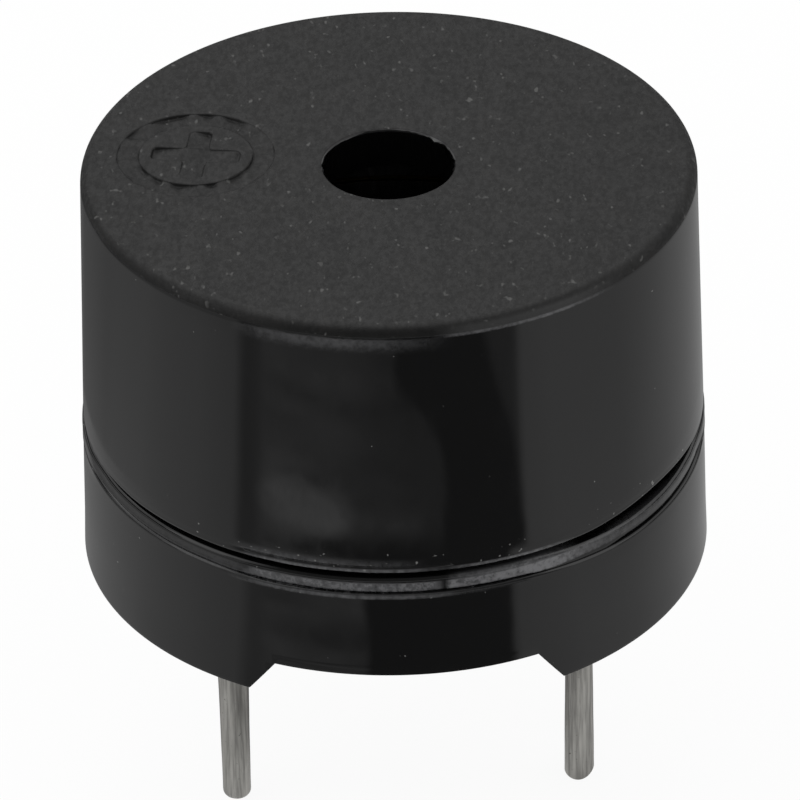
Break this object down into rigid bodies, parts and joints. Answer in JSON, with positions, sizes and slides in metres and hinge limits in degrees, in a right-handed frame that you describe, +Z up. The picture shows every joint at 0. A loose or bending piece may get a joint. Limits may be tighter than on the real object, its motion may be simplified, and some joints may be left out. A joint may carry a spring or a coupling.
{
  "type": "magnetic buzzer",
  "caption": "Round black magnetic buzzer for a circuit board: moulded case with a central sound hole and two straight terminal pins below.",
  "frame": {"origin": "midway between the two terminal pins, on the plane of the feet, where the board lies", "axes": "+Z up through the sound hole, away from the board; +X along the row of pins, from the positive to the negative pin"},
  "size_m": [0.012, 0.012, 0.0143],
  "materials": {
    "upper_case": "glossy black moulded wall, fine spark-eroded matt top",
    "lower_case": "glossy black moulded plastic",
    "tinned_pin": "dull tin plating with draw marks",
    "soft_iron": "plain plated steel",
    "enamelled_copper": "enamelled copper wire",
    "solder": "bright solder",
    "ferrite": "dark grey ferrite",
    "adhesive": "cured epoxy",
    "support_brass": "turned brass",
    "spring_steel": "rolled spring steel"
  },
  "bodies": {
    "root": {"upper_case": "upper_case", "lower_case": "lower_case", "positive_pin": "tinned_pin", "negative_pin": "tinned_pin", "yoke_plate": "soft_iron", "pole_core": "soft_iron", "coil": "enamelled_copper", "positive_coil_lead": "enamelled_copper", "negative_coil_lead": "enamelled_copper", "positive_solder_joint": "solder", "negative_solder_joint": "solder", "ring_magnet": "ferrite", "magnet_adhesive": "adhesive", "support_ring": "support_brass", "diaphragm": "spring_steel", "armature_disc": "soft_iron"}
  },
  "joints": []
}
